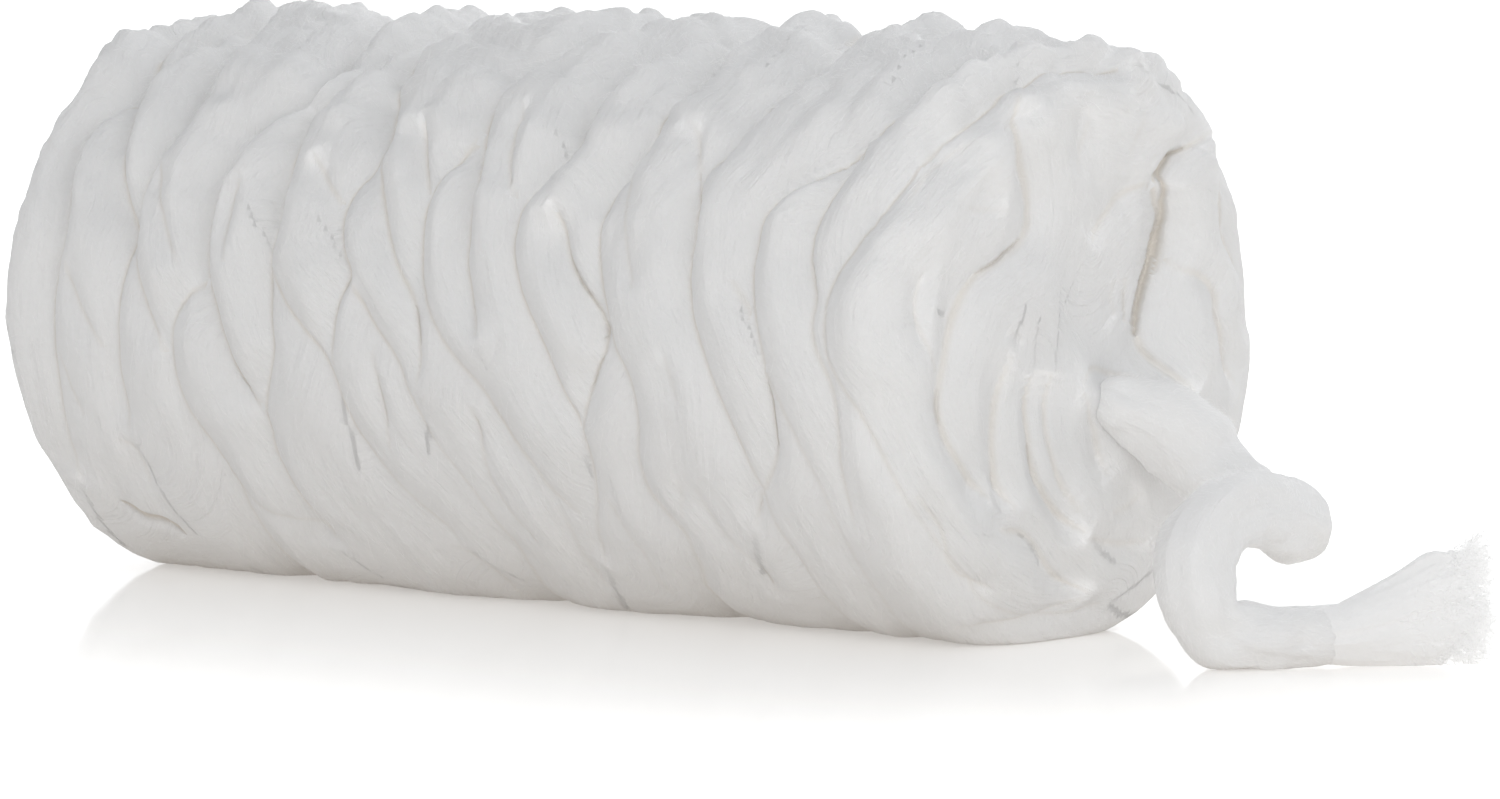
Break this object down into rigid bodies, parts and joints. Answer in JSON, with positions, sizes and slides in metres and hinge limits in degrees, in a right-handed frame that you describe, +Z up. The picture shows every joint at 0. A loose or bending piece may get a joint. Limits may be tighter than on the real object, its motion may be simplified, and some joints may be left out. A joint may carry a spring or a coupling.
{
  "type": "roll of soft cotton cord",
  "caption": "Fat roll of soft untwisted cotton cord lying on its side, its loose end looping out of an end face to a frayed tip on the floor.",
  "frame": {"origin": "on the floor under the middle of the wound roll", "axes": "+Z up, +X along the roll's axis towards the end face that the loose end comes out of, +Y away from the front side"},
  "size_m": [0.4778, 0.175, 0.17],
  "materials": {
    "cotton": "soft matt brushed cotton, fine fibres along each turn",
    "frayed_cotton": "loose fluffy cotton fibres"
  },
  "bodies": {
    "root": {"wound_roll": "cotton", "loose_end": "cotton", "frayed_tip": "frayed_cotton"}
  },
  "joints": []
}
